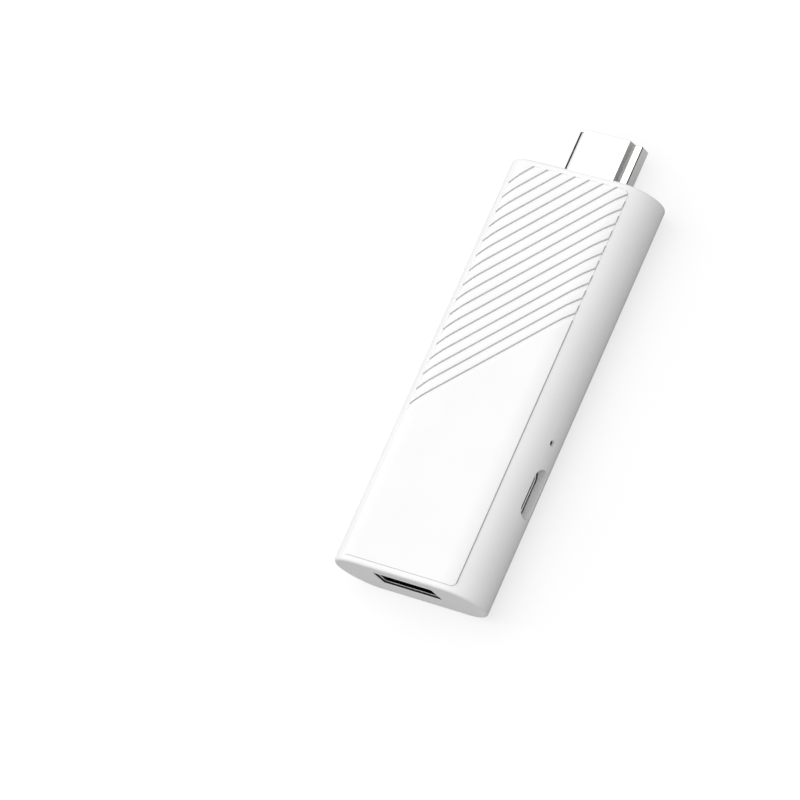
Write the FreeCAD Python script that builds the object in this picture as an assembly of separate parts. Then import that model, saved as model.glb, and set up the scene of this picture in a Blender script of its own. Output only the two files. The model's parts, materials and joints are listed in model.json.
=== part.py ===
import FreeCAD, Part
import math
import os

# A streaming stick lying on its back, in millimetres.
# X runs across the stick, Y along it towards the HDMI plug, Z out of the front cover.
# The origin is under the middle of the whole object, on the surface that it lies on.

os.makedirs("parts", exist_ok=True)
Vec = FreeCAD.Vector
X = Vec(1, 0, 0)
Y = Vec(0, 1, 0)
Z = Vec(0, 0, 1)

# Housing: driving dimensions
body_width = 32.6
body_height = 13.5
body_length = 83.2
plug_reach = 10.25           # how far the HDMI plug stands out of the top end
wall = 1.5
end_wall = 2.2
end_round = 0.55             # rounding of the edges round both end faces
boss_radius = 2.0            # the board stands on four of these
post_depth = 1.8             # of the two posts that hold the antenna strip, along the stick
post_wall = 0.6
post_rise = 0.2              # how far the posts stand above the strip

# Front cover
cover_half_width = 12.5
cover_margin_bottom = 1.2    # from the bottom end face to the cover's edge
cover_margin_top = 1.2
cover_corner = 1.1
cover_gap = 0.03             # hairline gap all round the cover
cover_proud = 0.28           # the cover stands this far out of the housing's surface
cover_sink = 1.3             # depth of its underside below the flat front
cover_ledge = 0.8            # width of the ledge that carries its long edges
opening_corner = 1.0         # corners of the opening under the cover

# Snap tabs under the cover, three on each side; Y is from the body's centre
tab_places = (-28.0, 0.0, 28.0)
tab_half_length = 2.5
tab_thickness = 0.7
tab_drop = 1.7               # how far the tabs reach down from the cover's underside
tab_clearance = 0.1          # to the wall of the opening
hook_half_length = 2.0
hook_reach = 0.45
hook_rise = 0.6              # from the tab's lower edge to the hook's point
hook_height = 0.75

# Diagonal ribs of the cover: each groove runs at 45 degrees
groove_count = 16
groove_pitch = 3.07          # from groove to groove, measured along the stick
first_groove_y = 2.87        # from the body's centre to the lowest groove's upper wall, on the middle line
groove_width = 1.26          # across the groove, at the flat front
groove_draft = 15.0          # degrees, the slope of the groove's lower wall
rib_corner = 1.3             # rounding where a rib's upright wall meets the right edge
rib_angle = 135.0            # degrees, inside the rib between that wall and the edge
rib_foot_width = 0.2         # of the narrow channel at the foot of that wall
rib_foot_depth = 0.3

# Circuit board
board_half_width = 11.3
board_bottom = 4.24
board_thickness = 1.0
board_start_gap = 0.3        # from the bottom end wall to the board
board_end_gap = 0.6          # from the board's top end to the HDMI plug's insulator
board_corner = 0.8
leg_slot_margin = 0.1        # play of the connectors' legs in the board's slots

# Screws that hold the board on the bosses
screw_x = 9.2
screw_from_bottom = 5.5      # from the board's bottom end
screw_from_top = 3.6
screw_radius = 0.8
screw_clearance = 0.02
screw_end_z = 1.6
screw_hole_radius = 1.0      # in the board
screw_head_radius = 1.4
screw_head_height = 0.8
screw_head_round = 0.3
screw_slot_half_width = 0.15
screw_slot_half_length = 0.8
screw_slot_depth = 0.4

# HDMI plug, type A; its narrow side is towards the front cover
plug_half_width = 6.95
plug_height = 4.45
plug_straight = 2.62         # height of the wide part's upright sides
plug_narrow_half_width = 5.05
plug_step_half_width = 5.45  # where the narrow part's steep walls meet the shoulders
plug_step_drop = 1.7         # from the narrow face down to there
plug_face_z = 7.9            # the narrow face
plug_inside = 4.3            # length of the plug inside the housing, wall included
hdmi_core_recess = 1.2       # from the plug's mouth to its insulator
hdmi_contact_recess = 1.9    # and to its contacts
hdmi_slot_half_width = 5.6
hdmi_slot_depth = 0.95       # from the plug's wide face to the slot
hdmi_slot_height = 1.7
plug_edge_round = 0.12       # of all its long edges
plug_tip_round = 0.25
plug_leg_length = 2.6        # of the two legs beside the board's top end
sheet = 0.3                  # thickness of the connectors' sheet metal
leg_below_board = 0.6        # how far the connectors' legs reach under the board
leg_overlap = 0.4            # how far a leg runs up into its connector's metal

# USB-A socket in the bottom end
usb_a_half_width = 6.55
usb_a_height = 5.72
usb_a_depth = 14.0
usb_a_hole_half_width = 6.52
usb_a_hole_height = 5.04
usb_a_hole_z = 7.93          # its middle
usb_a_hole_corner = 0.3
usb_a_hole_chamfer = 0.08
usb_a_corner = 0.5           # of the metal shell
usb_a_leg_half = 0.9
spring_x = 3.2               # the two springs in its roof
spring_start = 3.0
spring_length = 6.0
spring_half_width = 1.1
slit = 0.3
usb_a_block_depth = 4.0      # of the moulded block that carries the tongue
usb_a_tongue_half_width = 5.55
usb_a_tongue_thickness = 1.84
usb_a_tongue_drop = 0.72     # from the shell's roof to the tongue
usb_a_tongue_recess = 1.0    # from the shell's mouth to the tongue
tongue_corner = 0.3
usb_a_strip_xs = (-3.5, -1.0, 1.0, 3.5)
usb_a_strip_half = 0.5
usb_a_strip_thickness = 0.2
window_margin = 0.4
usb_a_lip = 0.4              # thickness of the end wall in front of the socket's metal mouth
usb_a_mouth_gap = 0.05
usb_a_mouth_round = 0.06
port_gap = 0.13

# USB-C socket and reset pinhole in the right side; Y is from the body's centre
usb_c_y = -18.2
usb_c_length = 8.94
usb_c_height = 3.26
usb_c_depth = 7.3
usb_c_block_depth = 2.4
usb_c_tongue_half_width = 3.3
usb_c_tongue_thickness = 0.7
usb_c_tongue_recess = 0.8
usb_c_leg_half = 0.4
usb_c_mouth_x = 14.2
usb_c_hole_length = 9.9
usb_c_hole_height = 3.9
usb_c_collar = 0.8           # wall of the collar that carries the hole in to the socket's mouth
usb_c_collar_gap = 0.05      # from there to the mouth
pinhole_y = -8.34
pinhole_z = 8.11
pinhole_radius = 0.6
pinhole_room_radius = 0.95   # the wall is thinner behind the pinhole
pinhole_room_x = 15.65       # and its thin part starts here

# Reset switch
plunger_tip_x = 14.15
plunger_radius = 0.75
plunger_fit = 0.05           # radial clearance of the plunger in its cover
plunger_tip_round = 0.2
flange_radius = 1.35         # the flange keeps the plunger behind its cover
flange_depth = 0.6
flange_gap = 0.03
nub_radius = 0.4             # the nub presses the dome
nub_gap = 0.05
switch_half_width = 2.3
switch_height = 4.8
switch_back_x = 9.6
switch_front_x = 12.3
switch_plate = 0.2
switch_floor = 0.8           # thickness of the base behind its well
switch_well_radius = 1.5
dome_radius = 1.3
dome_rise = 0.36
dome_thickness = 0.08

# Values that follow
total_length = body_length + plug_reach
y_bottom = -total_length / 2
y_top = y_bottom + body_length
y_tip = total_length / 2
y_centre = (y_bottom + y_top) / 2
half_width = body_width / 2
flat_half = half_width - body_height / 2
cover_under = body_height - cover_sink
cover_y0 = y_bottom + cover_margin_bottom
cover_y1 = y_top - cover_margin_top
cavity_y0 = y_bottom + end_wall
cavity_y1 = y_top - end_wall
board_top = board_bottom + board_thickness
plug_root_y = y_top - plug_inside
plug_back_z = plug_face_z - plug_height
board_y0 = cavity_y0 + board_start_gap
board_y1 = plug_root_y - board_end_gap
usb_a_mouth_y = y_bottom + usb_a_lip + usb_a_mouth_gap
switch_well_x = switch_back_x + switch_floor
screw_places = [
    (x, y)
    for x in (-screw_x, screw_x)
    for y in (board_y0 + screw_from_bottom, board_y1 - screw_from_top)
]
reach = 100.0                # longer than anything that it cuts through
cut_margin = 0.3             # how far a cut starts outside its body
tiny = 1e-3                  # for telling edges apart


def box(x0, x1, y0, y1, z0, z1):
    return Part.makeBox(x1 - x0, y1 - y0, z1 - z0, Vec(x0, y0, z0))


def rod(radius, start, direction, length):
    return Part.makeCylinder(radius, length, start, direction)


def joined(shapes):
    """All the shapes as one solid, with no leftover edges."""
    whole = shapes[0].fuse(list(shapes[1:])) if len(shapes) > 1 else shapes[0]
    return whole.removeSplitter()


def rounded_face(u0, u1, v0, v1, radius, at):
    """A rectangle with round corners; at(u, v) places a point of it in space."""
    near = radius * (1 - math.sqrt(0.5))
    sides = [
        ((u0 + radius, v0), (u1 - radius, v0)),
        ((u1, v0 + radius), (u1, v1 - radius)),
        ((u1 - radius, v1), (u0 + radius, v1)),
        ((u0, v1 - radius), (u0, v0 + radius)),
    ]
    middles = [(u1 - near, v0 + near), (u1 - near, v1 - near), (u0 + near, v1 - near), (u0 + near, v0 + near)]
    edges = []
    for index, (start, end) in enumerate(sides):
        if math.dist(start, end) > 1e-6:
            edges.append(Part.LineSegment(at(*start), at(*end)).toShape())
        following = sides[(index + 1) % 4][0]
        if radius > 0:
            edges.append(Part.Arc(at(*end), at(*middles[index]), at(*following)).toShape())
    return Part.Face(Part.Wire(edges))


def block_up(x0, x1, y0, y1, radius, z0, z1):
    """A block standing on its rounded plan."""
    return rounded_face(x0, x1, y0, y1, radius, lambda u, v: Vec(u, v, z0)).extrude(Z * (z1 - z0))


def bar_along(x0, x1, z0, z1, radius, y0, y1):
    """A bar along the stick with a rounded section."""
    return rounded_face(x0, x1, z0, z1, radius, lambda u, v: Vec(u, y0, v)).extrude(Y * (y1 - y0))


def bar_across(y0, y1, z0, z1, radius, x0, x1):
    """A bar across the stick with a rounded section."""
    return rounded_face(y0, y1, z0, z1, radius, lambda u, v: Vec(x0, u, v)).extrude(X * (x1 - x0))


def polygon(points):
    return Part.Face(Part.makePolygon([*points, points[0]]))


def capsule(grow, y0, y1):
    """The housing's section, flat front and back with round sides, grown or shrunk on all sides."""
    low = -grow
    high = body_height + grow
    return bar_along(-half_width - grow, half_width + grow, low, high, (high - low) / 2, y0, y1)


def save(node, shape):
    shape.exportStep("parts/%s.step" % node)
    size = shape.BoundBox
    print(
        "%-22s %6.2f x %6.2f x %6.2f  %9.2f mm3  %2d solids  valid %s"
        % (node, size.XLength, size.YLength, size.ZLength, shape.Volume, len(shape.Solids), shape.isValid())
    )


# Housing


def usb_a_hole(grow, y):
    """The outline of the hole in the bottom end wall, grown on all sides."""
    half_height = usb_a_hole_height / 2 + grow
    return rounded_face(
        -usb_a_hole_half_width - grow, usb_a_hole_half_width + grow,
        usb_a_hole_z - half_height, usb_a_hole_z + half_height,
        usb_a_hole_corner + grow, lambda u, v: Vec(u, y, v),
    )


def usb_c_hole(grow, x0, x1):
    """The oval hole in the side as a bar across the stick, grown on all sides."""
    half_length = usb_c_hole_length / 2 + grow
    half_height = usb_c_hole_height / 2 + grow
    return bar_across(
        y_centre + usb_c_y - half_length, y_centre + usb_c_y + half_length,
        usb_c_centre_z - half_height, usb_c_centre_z + half_height, half_height, x0, x1,
    )


def rear_shell():
    outer = capsule(0, y_bottom, y_top)
    end_edges = [edge for edge in outer.Edges if edge.BoundBox.YLength < tiny]
    outer = outer.makeFillet(end_round, end_edges)
    shell = outer.cut(capsule(-wall, cavity_y0, cavity_y1))

    rebate = block_up(
        -cover_half_width - cover_gap, cover_half_width + cover_gap,
        cover_y0 - cover_gap, cover_y1 + cover_gap,
        cover_corner + cover_gap, cover_under, reach,
    )
    opening_half = cover_half_width - cover_ledge
    opening = block_up(
        -opening_half, opening_half, cavity_y0, cavity_y1, opening_corner, body_height / 2, body_height,
    )
    shell = shell.cut([rebate, opening])

    additions = []
    for x, y in screw_places:
        additions.append(rod(boss_radius, Vec(x, y, wall / 2), Z, board_bottom - wall / 2))
    for y0 in (antenna_y0 - post_wall, antenna_y1 + post_wall - post_depth):
        post = box(-half_width, antenna_x1 + post_wall, y0, y0 + post_depth, wall / 2, antenna_z1 + post_rise)
        additions.append(post.common(outer))
    collar = usb_c_hole(usb_c_collar, usb_c_mouth_x + usb_c_collar_gap, half_width)
    additions.append(collar.common(capsule(-wall / 2, cavity_y0, cavity_y1)))
    shell = shell.fuse(additions)

    cuts = [
        plug_prism(port_gap, cavity_y1 - 1, y_tip),
        usb_a_hole(0, y_bottom).extrude(Y * end_wall),
        Part.makeLoft([
            usb_a_hole(usb_a_hole_chamfer, y_bottom).OuterWire,
            usb_a_hole(0, y_bottom + usb_a_hole_chamfer).OuterWire,
        ], True),
        bar_along(
            -usb_a_half_width - port_gap, usb_a_half_width + port_gap,
            board_top - port_gap, board_top + usb_a_height + port_gap,
            usb_a_corner + port_gap, y_bottom + usb_a_lip, cavity_y0 + 1,
        ),
        usb_c_hole(0, side_hole_x, half_width + 1),
        rod(pinhole_radius, Vec(side_hole_x, y_centre + pinhole_y, pinhole_z), X, reach),
        rod(
            pinhole_room_radius, Vec(side_hole_x, y_centre + pinhole_y, pinhole_z), X,
            pinhole_room_x - side_hole_x,
        ),
        box(
            antenna_x0 - slot_gap, antenna_x1 + slot_gap, antenna_y0 - slot_gap, antenna_y1 + slot_gap,
            antenna_z0, antenna_z1 + 1,
        ),
    ]
    for x, y in screw_places:
        foot = Vec(x, y, screw_end_z - screw_clearance)
        cuts.append(rod(screw_radius + screw_clearance, foot, Z, body_height))
    for cut in cuts:
        shell = shell.cut(cut)
    return shell.removeSplitter()


def groove_wall_y(index, x):
    """Y of a groove's upper wall where it crosses the given X."""
    return y_centre + first_groove_y + index * groove_pitch + x


def groove(index, width, draft):
    """One diagonal groove as a long prism: upright upper wall, lower wall sloping by draft degrees."""
    along = Vec(1, 1, 0) * math.sqrt(0.5)
    across = Vec(1, -1, 0) * math.sqrt(0.5)
    low = cover_under
    high = body_height + 1.0
    slope = math.tan(math.radians(draft))
    foot = Vec(0, groove_wall_y(index, 0), 0) - along * reach / 2
    section = polygon([
        foot + Z * low,
        foot + Z * low + across * (width - (body_height - low) * slope),
        foot + Z * high + across * (width + (high - body_height) * slope),
        foot + Z * high,
    ])
    return section.extrude(along * reach)


def rib_corner_cut(index):
    """What rounds the corner between a rib's upright wall and the cover's right edge."""
    corner = Vec(cover_half_width, groove_wall_y(index, cover_half_width), cover_under)
    half_angle = math.radians(rib_angle / 2)
    tangent = rib_corner / math.tan(half_angle)
    along_wall = Vec(-1, -1, 0) * math.sqrt(0.5)
    inwards = Y + along_wall
    inwards.normalize()
    on_edge = corner + Y * tangent
    on_wall = corner + along_wall * tangent
    middle = corner + inwards * (rib_corner / math.sin(half_angle) - rib_corner)
    far = corner - inwards * cut_margin / math.sin(half_angle)
    on_edge_far = on_edge + X * cut_margin
    on_wall_far = on_wall + Vec(1, -1, 0) * math.sqrt(0.5) * cut_margin
    edges = [
        Part.LineSegment(on_edge, on_edge_far).toShape(),
        Part.LineSegment(on_edge_far, far).toShape(),
        Part.LineSegment(far, on_wall_far).toShape(),
        Part.LineSegment(on_wall_far, on_wall).toShape(),
        Part.Arc(on_wall, middle, on_edge).toShape(),
    ]
    return Part.Face(Part.Wire(edges)).extrude(Z * (body_height - cover_under + 1))


def front_cover():
    plan = block_up(
        -cover_half_width, cover_half_width, cover_y0, cover_y1, cover_corner, cover_under, body_height + 1,
    )
    plate = capsule(cover_proud, y_bottom, y_top).common(plan)
    flush = capsule(0, y_bottom - 1, y_top + 1)
    below_flush = capsule(-rib_foot_depth, y_bottom - 1, y_top + 1)
    for index in range(groove_count):
        plate = plate.cut(groove(index, rib_foot_width, 0).cut(below_flush))
    for index in range(groove_count):
        plate = plate.cut(groove(index, groove_width, groove_draft).cut(flush))
        if groove_wall_y(index, cover_half_width) < cover_y1 - cover_corner:
            plate = plate.cut(rib_corner_cut(index).cut(flush))

    # snap tabs that hook under the ledges of the shell's opening
    tab_outer = cover_half_width - cover_ledge - tab_clearance
    tab_low = cover_under - tab_drop
    tabs = []
    for place in tab_places:
        for side in (-1, 1):
            y = y_centre + place
            xs = sorted((side * (tab_outer - tab_thickness), side * tab_outer))
            tabs.append(box(*xs, y - tab_half_length, y + tab_half_length, tab_low, cover_under))
            hook_y = y - hook_half_length
            hook = polygon([
                Vec(side * tab_outer, hook_y, tab_low),
                Vec(side * (tab_outer + hook_reach), hook_y, tab_low + hook_rise),
                Vec(side * tab_outer, hook_y, tab_low + hook_height),
            ])
            tabs.append(hook.extrude(Y * hook_half_length * 2))
    return joined([plate, *tabs])


def plug_prism(grow, y0, y1):
    """The HDMI plug's stepped section, wide side down and narrow side up, as a prism along the stick."""
    shoulder_z = plug_back_z + plug_straight
    step_z = plug_face_z - plug_step_drop
    outline = polygon([
        Vec(-plug_narrow_half_width, y0, plug_face_z),
        Vec(plug_narrow_half_width, y0, plug_face_z),
        Vec(plug_step_half_width, y0, step_z),
        Vec(plug_half_width, y0, shoulder_z),
        Vec(plug_half_width, y0, plug_back_z),
        Vec(-plug_half_width, y0, plug_back_z),
        Vec(-plug_half_width, y0, shoulder_z),
        Vec(-plug_step_half_width, y0, step_z),
    ])
    solid = outline.extrude(Y * (y1 - y0))
    long_edges = [edge for edge in solid.Edges if edge.BoundBox.YLength > tiny]
    solid = solid.makeFillet(plug_edge_round, long_edges)
    if grow:
        section = solid.slice(Y, (y0 + y1) / 2)[0].makeOffset2D(grow)
        face = Part.Face(section)
        face.translate(Y * (y0 - (y0 + y1) / 2))
        solid = face.extrude(Y * (y1 - y0))
    return solid


# HDMI plug


def hdmi_shell():
    outer = plug_prism(0, plug_root_y, y_tip)
    tip_edges = [edge for edge in outer.Edges if edge.BoundBox.YMin > y_tip - tiny]
    outer = outer.makeFillet(plug_tip_round, tip_edges)
    sleeve = outer.cut(plug_prism(-sheet, plug_root_y - 1, y_tip + 1))
    legs = []
    for side in (-1, 1):
        xs = sorted((side * plug_half_width, side * (plug_half_width - sheet)))
        legs.append(box(
            *xs, board_y1 - plug_leg_length, plug_root_y + leg_overlap,
            board_bottom - leg_below_board, board_top + leg_overlap,
        ))
    return joined([sleeve, *legs])


def hdmi_contacts():
    """Two rows of spring strips: nine over the slot, ten under it, with tails on the board."""
    thick = 0.15
    wide = 0.35
    tail = 1.4
    front_y = y_tip - hdmi_contact_recess
    step_y = plug_root_y - board_end_gap / 2
    strips = []
    for count, strip_z, tail_z in (
        (9, hdmi_slot_z1 - thick, board_top),
        (10, hdmi_slot_z0, board_bottom - thick),
    ):
        for index in range(count):
            x = index - (count - 1) / 2
            x0 = x - wide / 2
            x1 = x + wide / 2
            low = min(strip_z, tail_z)
            high = max(strip_z, tail_z) + thick
            strips.append(joined([
                box(x0, x1, step_y, front_y, strip_z, strip_z + thick),
                box(x0, x1, step_y, step_y + thick, low, high),
                box(x0, x1, step_y - tail, step_y + thick, tail_z, tail_z + thick),
            ]))
    return strips


def hdmi_insulator(strips):
    core = plug_prism(-sheet, plug_root_y, y_tip - hdmi_core_recess)
    slot = box(
        -hdmi_slot_half_width, hdmi_slot_half_width, y_top, y_tip, hdmi_slot_z0, hdmi_slot_z1,
    )
    core = core.cut(slot)
    return core.cut(Part.makeCompound(strips))


# USB-A socket


def usb_a_shell():
    z0 = board_top
    z1 = board_top + usb_a_height
    rear_y = usb_a_mouth_y + usb_a_depth
    outer = bar_along(-usb_a_half_width, usb_a_half_width, z0, z1, usb_a_corner, usb_a_mouth_y, rear_y)
    inner = bar_along(
        -usb_a_half_width + sheet, usb_a_half_width - sheet, z0 + sheet, z1 - sheet, usb_a_corner - sheet,
        usb_a_mouth_y - 1, rear_y - sheet,
    )
    shell = outer.cut(inner)
    mouth_edges = [edge for edge in shell.Edges if edge.BoundBox.YMax < usb_a_mouth_y + tiny]
    shell = shell.makeFillet(usb_a_mouth_round, mouth_edges)

    # two springs cut free in the roof, and a window in the floor for the contacts
    slits = []
    spring_y0 = usb_a_mouth_y + spring_start
    for x in (-spring_x, spring_x):
        for edge_x in (x - spring_half_width, x + spring_half_width):
            slits.append(box(
                edge_x - slit / 2, edge_x + slit / 2, spring_y0, spring_y0 + spring_length,
                z1 - sheet * 2, z1 + 1,
            ))
        slits.append(box(
            x - spring_half_width, x + spring_half_width, spring_y0, spring_y0 + slit, z1 - sheet * 2, z1 + 1,
        ))
    slits.append(box(
        -usb_a_window_half, usb_a_window_half, usb_a_drop_y - window_margin,
        usb_a_drop_y + usb_a_strip_thickness + window_margin, z0 - 1, z0 + sheet + tiny,
    ))
    shell = shell.cut(slits)
    legs = []
    for side in (-1, 1):
        for y in usb_a_leg_ys:
            xs = sorted((side * usb_a_half_width, side * (usb_a_half_width - sheet)))
            legs.append(box(
                *xs, y - usb_a_leg_half, y + usb_a_leg_half,
                board_bottom - leg_below_board, z0 + usb_a_corner,
            ))
    return joined([shell, *legs])


def usb_a_contacts():
    """Four strips under the tongue, with legs that go down behind it to the board."""
    strip_top = usb_a_tongue_z0 + usb_a_strip_thickness / 2
    strip_low = strip_top - usb_a_strip_thickness
    drop_y1 = usb_a_drop_y + usb_a_strip_thickness
    strips = []
    for x in usb_a_strip_xs:
        x0 = x - usb_a_strip_half
        x1 = x + usb_a_strip_half
        strips.append(joined([
            box(x0, x1, usb_a_tongue_y0 + leg_below_board, drop_y1, strip_low, strip_top),
            box(x0, x1, usb_a_drop_y, drop_y1, board_bottom - leg_below_board, strip_top),
        ]))
    return strips


def usb_a_tongue(strips):
    z0 = board_top + sheet
    z1 = board_top + usb_a_height - sheet
    half = usb_a_half_width - sheet
    block_y0 = usb_a_rear_y - usb_a_block_depth
    block = bar_along(-half, half, z0, z1, usb_a_corner - sheet, block_y0, usb_a_rear_y)
    tongue = block_up(
        -usb_a_tongue_half_width, usb_a_tongue_half_width, usb_a_tongue_y0, block_y0 + 1,
        tongue_corner, usb_a_tongue_z0, usb_a_tongue_z1,
    )
    return joined([block, tongue]).cut(Part.makeCompound(strips))


# USB-C socket


def usb_c_bar(shrink, x0, x1):
    y0 = y_centre + usb_c_y - usb_c_length / 2 + shrink
    y1 = y_centre + usb_c_y + usb_c_length / 2 - shrink
    half = usb_c_height / 2 - shrink
    return bar_across(y0, y1, usb_c_centre_z - half, usb_c_centre_z + half, half, x0, x1)


def usb_c_shell():
    rear_x = usb_c_mouth_x - usb_c_depth
    shell = usb_c_bar(0, rear_x, usb_c_mouth_x).cut(usb_c_bar(sheet, rear_x + sheet, usb_c_mouth_x + 1))
    legs = []
    for side in (-1, 1):
        y = y_centre + usb_c_y + side * (usb_c_length / 2 - sheet / 2)
        for x in usb_c_leg_xs:
            legs.append(box(
                x - usb_c_leg_half, x + usb_c_leg_half, y - sheet / 2, y + sheet / 2,
                board_bottom - leg_below_board, usb_c_centre_z,
            ))
    return joined([shell, *legs])


def usb_c_contacts():
    """Twelve strips above the tongue and twelve below, at a pitch of half a millimetre."""
    thick = 0.1
    wide = 0.25
    pitch = 0.5
    count = 12
    strips = []
    for strip_z in (usb_c_tongue_z1, usb_c_tongue_z0 - thick):
        for index in range(count):
            y = y_centre + usb_c_y + (index - (count - 1) / 2) * pitch
            strips.append(box(
                usb_c_rear_x + sheet, usb_c_tongue_x1 - sheet, y - wide / 2, y + wide / 2,
                strip_z, strip_z + thick,
            ))
    return strips


def usb_c_tongue(strips):
    middle_y = y_centre + usb_c_y
    block_x1 = usb_c_rear_x + usb_c_block_depth
    block = usb_c_bar(sheet, usb_c_rear_x, block_x1)
    tongue = block_up(
        block_x1 - 1, usb_c_tongue_x1, middle_y - usb_c_tongue_half_width, middle_y + usb_c_tongue_half_width,
        tongue_corner, usb_c_tongue_z0, usb_c_tongue_z1,
    )
    return joined([block, tongue]).cut(Part.makeCompound(strips))


# Reset switch behind the pinhole


def reset_switch_base():
    y = y_centre + pinhole_y
    base = box(
        switch_back_x, switch_front_x, y - switch_half_width, y + switch_half_width,
        board_top, board_top + switch_height,
    )
    well = rod(switch_well_radius, Vec(switch_well_x, y, pinhole_z), X, reach)
    return base.cut(well)


def reset_dome():
    """A thin sprung cap whose rim stands on the bottom of the well and whose top faces outwards."""
    y = y_centre + pinhole_y
    ball_radius = (dome_radius ** 2 + dome_rise ** 2) / (2 * dome_rise)
    centre = Vec(switch_well_x + dome_rise - ball_radius, y, pinhole_z)
    shell = Part.makeSphere(ball_radius, centre).cut(Part.makeSphere(ball_radius - dome_thickness, centre))
    return shell.common(rod(dome_radius, Vec(switch_well_x, y, pinhole_z), X, dome_rise * 2))


def reset_plunger():
    y = y_centre + pinhole_y
    flange_x1 = switch_front_x - flange_gap
    flange_x0 = flange_x1 - flange_depth
    nub_x0 = switch_well_x + dome_rise + nub_gap
    stem = rod(plunger_radius, Vec(flange_x0, y, pinhole_z), X, plunger_tip_x - flange_x0)
    tip_edges = [edge for edge in stem.Edges if edge.BoundBox.XMin > plunger_tip_x - tiny]
    stem = stem.makeFillet(plunger_tip_round, tip_edges)
    return joined([
        stem,
        rod(flange_radius, Vec(flange_x0, y, pinhole_z), X, flange_depth),
        rod(nub_radius, Vec(nub_x0, y, pinhole_z), X, flange_x0 - nub_x0),
    ])


def reset_switch_cover():
    y = y_centre + pinhole_y
    z1 = board_top + switch_height
    outer_half = switch_half_width + switch_plate
    hood = box(
        switch_well_x, switch_front_x + switch_plate,
        y - outer_half, y + outer_half, board_top, z1 + switch_plate,
    )
    room = box(switch_well_x - 1, switch_front_x, y - switch_half_width, y + switch_half_width, 0, z1)
    hole = rod(plunger_radius + plunger_fit, Vec(switch_front_x - 1, y, pinhole_z), X, reach)
    return hood.cut([room, hole])


# Circuit board and what is on it


def main_board():
    board = block_up(
        -board_half_width, board_half_width, board_y0, board_y1, board_corner, board_bottom, board_top,
    )
    play = leg_slot_margin
    cuts = [rod(screw_hole_radius, Vec(x, y, 0), Z, reach) for x, y in screw_places]
    for side in (-1, 1):
        xs = sorted((side * (plug_half_width + play), side * (plug_half_width - sheet - play)))
        cuts.append(box(*xs, board_y1 - plug_leg_length - play, board_y1 + 1, 0, reach))
        xs = sorted((side * (usb_a_half_width + play), side * (usb_a_half_width - sheet - play)))
        for y in usb_a_leg_ys:
            cuts.append(box(*xs, y - usb_a_leg_half - play, y + usb_a_leg_half + play, 0, reach))
        leg_y = y_centre + usb_c_y + side * (usb_c_length / 2 - sheet / 2)
        half = sheet / 2 + play
        for x in usb_c_leg_xs:
            cuts.append(box(
                x - usb_c_leg_half - play, x + usb_c_leg_half + play, leg_y - half, leg_y + half, 0, reach,
            ))
    for x in usb_a_strip_xs:
        half = usb_a_strip_half + play
        cuts.append(box(
            x - half, x + half, usb_a_drop_y - play, usb_a_drop_y + usb_a_strip_thickness + play, 0, reach,
        ))
    return board.cut(cuts)


def chip(x, y, width, length, height, margin=0.4, below=False):
    """A packaged chip: a thin base plate and a slightly smaller moulded top."""
    base = 0.3
    half_x = width / 2
    half_y = length / 2
    foot = board_bottom - base if below else board_top
    top = board_bottom - height if below else board_top + base
    plate = box(x - half_x, x + half_x, y - half_y, y + half_y, foot, foot + base)
    half_x -= margin
    half_y -= margin
    body = box(x - half_x, x + half_x, y - half_y, y + half_y, top, top + height - base)
    return joined([plate, body])


def small_parts(places, width, length, height):
    """A group of equal small blocks that stand on the board."""
    return [
        box(x - width / 2, x + width / 2, y - length / 2, y + length / 2, board_top, board_top + height)
        for x, y in places
    ]


def coil_parts(places, size, height):
    """Square coils: a moulded body with a round drum on top."""
    group = []
    for x, y in places:
        block_top = board_top + height * coil_body_share
        body = box(x - size / 2, x + size / 2, y - size / 2, y + size / 2, board_top, block_top)
        drum = rod(size * coil_drum_share, Vec(x, y, board_top), Z, height)
        group.append(joined([body, drum]))
    return group


def shield_frame():
    x0, x1, y0, y1 = shield_box
    top = board_top + shield_height
    metal = shield_thickness
    rim = shield_rim
    outer = block_up(x0, x1, y0, y1, shield_corner, board_top, top)
    inner = block_up(
        x0 + metal, x1 - metal, y0 + metal, y1 - metal, shield_corner - metal, board_top - 1, top - metal,
    )
    window = block_up(x0 + rim, x1 - rim, y0 + rim, y1 - rim, shield_corner, board_top, top + 1)
    return outer.cut([inner, window])


def heat_spreader():
    x0, x1, y0, y1 = shield_box
    plate_z0 = board_top + chip_height + pad_height
    plate = block_up(x0, x1, y0, y1, spreader_corner, plate_z0, plate_z0 + spreader_plate)
    fin_y0 = y0 + spreader_corner
    fin_y1 = y1 - spreader_corner
    fins = []
    for index in range(fin_count):
        x = x0 + (x1 - x0 - fin_thickness) * index / (fin_count - 1)
        fins.append(box(x, x + fin_thickness, fin_y0, fin_y1, plate_z0 + spreader_plate / 2, fin_top))
    return joined([plate, *fins])


def thermal_pads():
    z0 = board_top + chip_height
    pads = []
    for x, y, width, length in (processor_place, *memory_places):
        half_x = width / 2 - pad_inset
        half_y = length / 2 - pad_inset
        pads.append(box(x - half_x, x + half_x, y - half_y, y + half_y, z0, z0 + pad_height))
    return pads


def wireless_module():
    x, y = wireless_place
    half = wireless_half
    return block_up(x - half, x + half, y - half, y + half, 0.3, board_top, board_top + wireless_board)


def wireless_can():
    x, y = wireless_place
    z0 = board_top + wireless_board
    z1 = z0 + can_height
    half = wireless_half - can_inset
    can = block_up(x - half, x + half, y - half, y + half, can_corner, z0, z1)
    half -= shield_thickness
    hollow = block_up(
        x - half, x + half, y - half, y + half, can_corner - shield_thickness, z0 - 1, z1 - shield_thickness,
    )
    return can.cut(hollow)


def antenna_strip():
    """A thin strip standing on edge in two slotted posts, with its feed block."""
    strip = box(antenna_x0, antenna_x1, antenna_y0, antenna_y1, antenna_z0, antenna_z1)
    start = lead_points[0]
    feed = box(
        antenna_x1, start.x + feed_half, start.y - feed_length, start.y,
        start.z - feed_half, start.z + feed_half,
    )
    return joined([strip, feed])


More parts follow.
